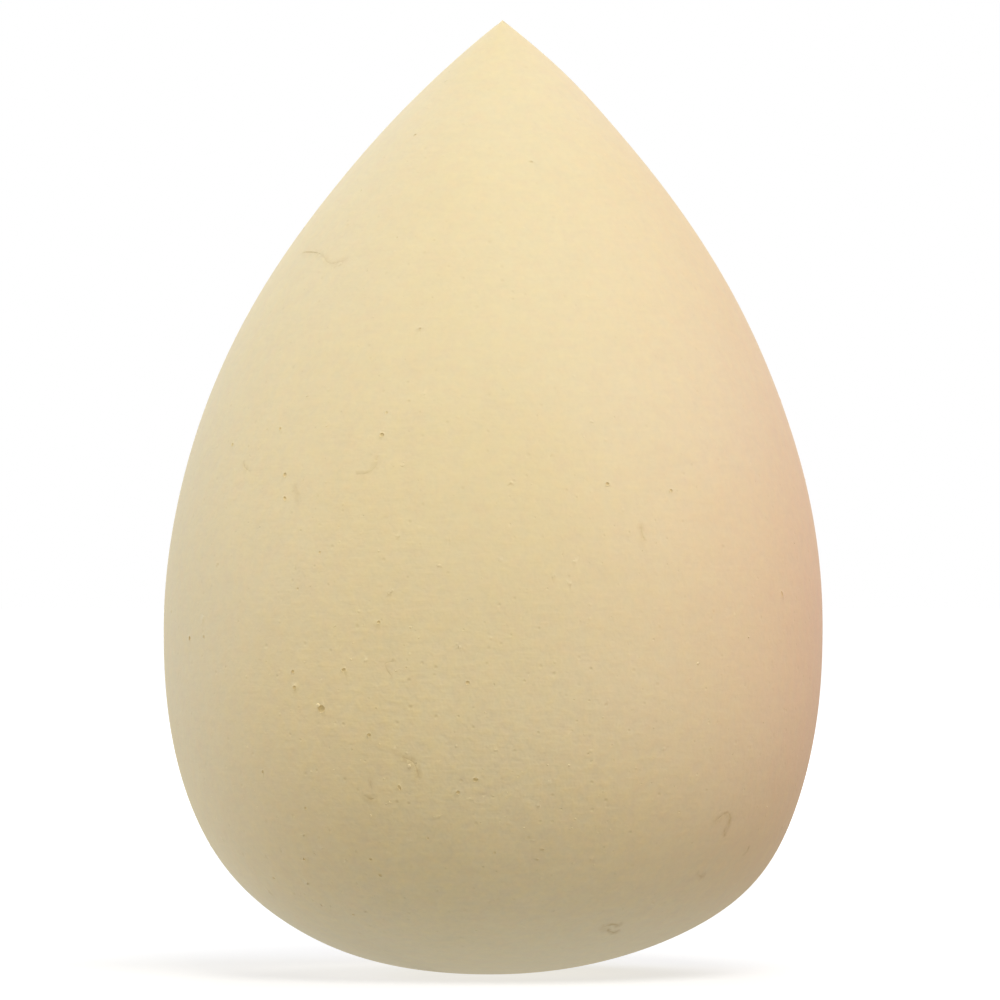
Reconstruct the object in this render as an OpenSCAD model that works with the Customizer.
// Drop-shaped makeup sponge, one piece of soft foam: a pointed tip over a round belly.
// Millimetres, +Z up, origin at the centre of the resting flat.

/* [Foam body] */
// Height of the sponge, from the resting flat to the tip
height = 60; // [50:1:72]
// Width across the belly, which is the widest place
width = 41.5; // [34:0.5:50]
// Height of the belly above the resting flat
belly_height = 21.8; // [17:0.2:27]
// Full angle between the two flanks where they meet at the tip
tip_angle = 102.5; // [86:0.5:118]

/* [Resting flat] */
// Depth of round base that the sponge's own weight presses flat where it stands
rest_depth = 0.5; // [0.2:0.1:1.2]

/* [Outline] */
// How long the outline holds the tip's slope, as a share of the tip's height over the belly
tip_run_share = 0.22; // [0.1:0.01:0.35]
// How long the outline stays upright above the belly, as a share of the same height
flank_run_share = 0.51; // [0.4:0.01:0.6]
// How long the outline stays upright below the belly, as a share of the belly's height over the base
haunch_run_share = 0.17; // [0.05:0.01:0.4]
// How long the outline stays level at the middle of the base, as a share of the half width
base_run_share = 1.03; // [0.8:0.01:1.1]
// Straight steps along each of the outline's two curves
curve_steps = 36; // [16:4:60]

/* [Hidden] */
// The foam body is turned, so this count only sets how finely it is drawn
$fn = 144;

half_width = width / 2;
tip_rise = height - belly_height;
base_drop = belly_height + rest_depth;
// The cutter below the resting flat reaches past the belly on every side
cutter_r = width;
cutter_h = base_drop;

// The outline's two ends and its widest point, as radius and height
base_point = [0, -rest_depth];
belly_point = [half_width, belly_height];
tip_point = [0, height];

// Unit directions in which the outline leaves the tip and the belly
tip_way = [sin(tip_angle / 2), -cos(tip_angle / 2)];
up_way = [0, 1];
out_way = [1, 0];

// Point at share t of a cubic curve from a to d that leaves along b and arrives along c
function curve_point(t, a, b, c, d) =
    pow(1 - t, 3) * a
    + 3 * pow(1 - t, 2) * t * b
    + 3 * (1 - t) * pow(t, 2) * c
    + pow(t, 3) * d;

// Lower curve, from the middle of the base out and up to the belly
base_curve = [
    for (i = [0:curve_steps - 1])
        curve_point(
            i / curve_steps,
            base_point,
            base_point + base_run_share * half_width * out_way,
            belly_point - haunch_run_share * base_drop * up_way,
            belly_point
        )
];

// Upper curve, from the belly up and in to the tip
tip_curve = [
    for (i = [0:curve_steps])
        curve_point(
            i / curve_steps,
            belly_point,
            belly_point + flank_run_share * tip_rise * up_way,
            tip_point + tip_run_share * tip_rise * tip_way,
            tip_point
        )
];

// The whole sponge: its half outline turned about the upright axis, cut level at the resting flat
module foam_body() {
    color([0.89, 0.81, 0.63])
        difference() {
            rotate_extrude()
                polygon(concat(base_curve, tip_curve));
            translate([0, 0, -cutter_h])
                cylinder(h = cutter_h, r = cutter_r);
        }
}

foam_body();
